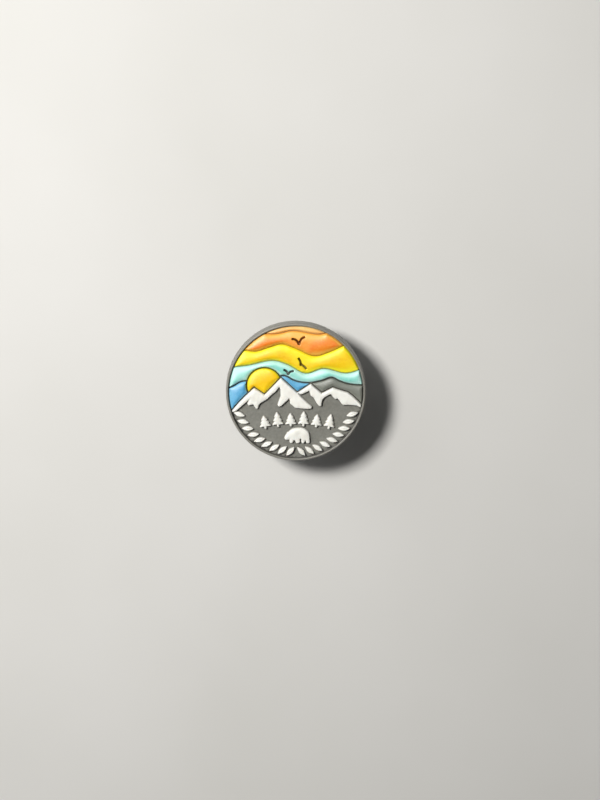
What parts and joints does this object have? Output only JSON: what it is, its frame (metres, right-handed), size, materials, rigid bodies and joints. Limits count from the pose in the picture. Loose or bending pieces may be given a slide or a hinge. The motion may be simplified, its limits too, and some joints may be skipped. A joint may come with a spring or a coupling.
{
  "type": "soft pvc pin badge",
  "caption": "Round soft PVC relief badge of a mountain sunset, with a steel post in its back and a butterfly clutch whose wings squeeze to release it.",
  "frame": {"origin": "centre of the badge's flat back face, where the cloth lies", "axes": "+Z out of the decorated face, +Y to the top of the picture, +X to the picture's right; the post and the clutch point down -Z"},
  "size_m": [0.027, 0.027, 0.0119],
  "materials": {
    "grey_pvc": "matte soft PVC",
    "ridge_grey_pvc": "matte soft PVC",
    "pale_orange_pvc": "satin soft PVC",
    "orange_pvc": "satin soft PVC",
    "yellow_pvc": "satin soft PVC",
    "sun_pvc": "satin soft PVC",
    "teal_pvc": "satin soft PVC",
    "blue_pvc": "satin soft PVC",
    "white_pvc": "satin soft PVC",
    "plate_steel": "satin",
    "post_steel": "bright",
    "spring_steel": "satin",
    "nickel_plate": "nickel plated, worn bright"
  },
  "bodies": {
    "badge": {"base_body": "grey_pvc", "top_sliver": "pale_orange_pvc", "orange_band": "orange_pvc", "yellow_band": "yellow_pvc", "teal_band": "teal_pvc", "blue_left": "blue_pvc", "blue_valley": "blue_pvc", "sun": "sun_pvc", "far_ridge": "ridge_grey_pvc", "snow_left": "white_pvc", "snow_right": "white_pvc", "bear": "white_pvc", "tree_1": "white_pvc", "tree_2": "white_pvc", "tree_3": "white_pvc", "tree_4": "white_pvc", "tree_5": "white_pvc", "tree_6": "white_pvc", "leaf_border": "white_pvc", "pin_plate": "plate_steel", "pin_post": "post_steel"},
    "clutch": {"clutch_plate": "nickel_plate", "clutch_cap": "nickel_plate", "clutch_spring": "spring_steel"},
    "wing_left": {"wing_left": "nickel_plate"},
    "wing_right": {"wing_right": "nickel_plate"}
  },
  "joints": [
    {"name": "clutch_slide", "type": "slide", "parent": "badge", "child": "clutch", "axis": [0, 0, -1], "range_m": [-0.0021, 0.006]},
    {"name": "wing_left_squeeze", "type": "hinge", "parent": "clutch", "child": "wing_left", "pos_m": [-0.00315, 0, -0.00505], "axis": [0, -1, 0], "range_deg": [0, 10], "stiffness_Nm_per_rad": 0.12},
    {"name": "wing_right_squeeze", "type": "hinge", "parent": "clutch", "child": "wing_right", "pos_m": [0.00315, 0, -0.00505], "axis": [0, 1, 0], "range_deg": [0, 10], "stiffness_Nm_per_rad": 0.12}
  ]
}
